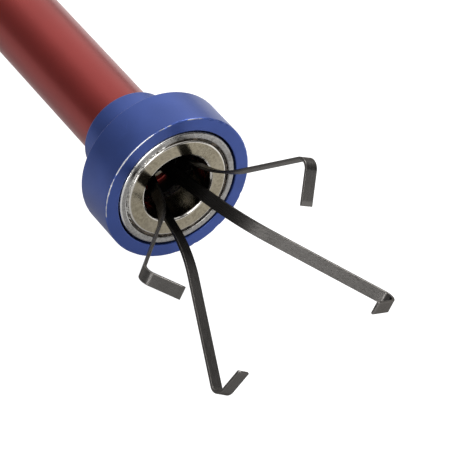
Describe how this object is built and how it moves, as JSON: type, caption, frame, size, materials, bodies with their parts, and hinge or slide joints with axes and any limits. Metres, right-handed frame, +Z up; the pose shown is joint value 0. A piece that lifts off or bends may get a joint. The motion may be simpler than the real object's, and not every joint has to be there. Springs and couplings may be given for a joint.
{
  "type": "claw and magnet pick-up tool",
  "caption": "Long reach pick-up tool: a ring magnet head, spring claw fingers that spread and close through the magnet's hole, a slim tube and a thumb-button handle.",
  "frame": {"origin": "under the middle of the tool, on the surface that the finger flange's flat lower edge stands on", "axes": "+Y runs along the tube from the claw to the thumb button, +Z is up, +X is across the finger flange"},
  "size_m": [0.046, 0.4498, 0.0296],
  "materials": {
    "red_paint": "satin",
    "blue_paint": "satin",
    "black_steel": "satin blackened",
    "pale_steel": "satin",
    "nickel": "grainy satin",
    "rubber": "matte",
    "nylon": "matte",
    "brass": "satin"
  },
  "bodies": {
    "housing": {"outer_tube": "red_paint", "head_shell": "blue_paint", "magnet_pot": "pale_steel", "ring_magnet": "nickel", "rod_guide_front": "nylon", "rod_guide_middle": "nylon", "rod_guide_rear": "nylon", "handle_nose": "blue_paint", "nose_screw_1": "black_steel", "nose_screw_2": "black_steel", "handle_barrel": "blue_paint", "grip_sleeve": "rubber", "finger_flange": "blue_paint", "flange_nut": "pale_steel", "end_cap": "blue_paint", "bumper_ring": "rubber", "spring_seat": "brass", "return_spring": "pale_steel"},
    "plunger": {"thumb_button": "red_paint", "plunger_stem": "pale_steel", "stem_pin": "pale_steel", "plunger_collar": "pale_steel", "collar_screw": "black_steel", "push_rod": "pale_steel", "claw_ferrule": "black_steel", "finger_root_1": "black_steel", "finger_root_2": "black_steel", "finger_root_3": "black_steel", "finger_root_4": "black_steel"},
    "finger_1_strip": {"finger_1": "black_steel"},
    "finger_2_strip": {"finger_2": "black_steel"},
    "finger_3_strip": {"finger_3": "black_steel"},
    "finger_4_strip": {"finger_4": "black_steel"}
  },
  "joints": [
    {"name": "claw_slide", "type": "slide", "parent": "housing", "child": "plunger", "axis": [0, 1, 0], "range_m": [0, 0.012], "deforming": ["return_spring"]},
    {"name": "finger_1_flex", "type": "hinge", "parent": "plunger", "child": "finger_1_strip", "pos_m": [0.00067, -0.19326, 0.01614], "axis": [0.8957, 0, -0.4446], "range_deg": [0, 20.2]},
    {"name": "finger_2_flex", "type": "hinge", "parent": "plunger", "child": "finger_2_strip", "pos_m": [-0.00132, -0.19326, 0.0155], "axis": [0.4695, 0, 0.8829], "range_deg": [0, 23]},
    {"name": "finger_3_flex", "type": "hinge", "parent": "plunger", "child": "finger_3_strip", "pos_m": [-0.00081, -0.19326, 0.01353], "axis": [-0.8434, 0, 0.5373], "range_deg": [0, 15.9]},
    {"name": "finger_4_flex", "type": "hinge", "parent": "plunger", "child": "finger_4_strip", "pos_m": [0.0013, -0.19326, 0.01405], "axis": [-0.503, 0, -0.8643], "range_deg": [0, 23.9]}
  ],
  "couplings": [
    {"joint": "finger_1_flex", "follows": "claw_slide", "rad_per_m": 29.234},
    {"joint": "finger_2_flex", "follows": "claw_slide", "rad_per_m": 33.307},
    {"joint": "finger_3_flex", "follows": "claw_slide", "rad_per_m": 22.98},
    {"joint": "finger_4_flex", "follows": "claw_slide", "rad_per_m": 34.616}
  ]
}
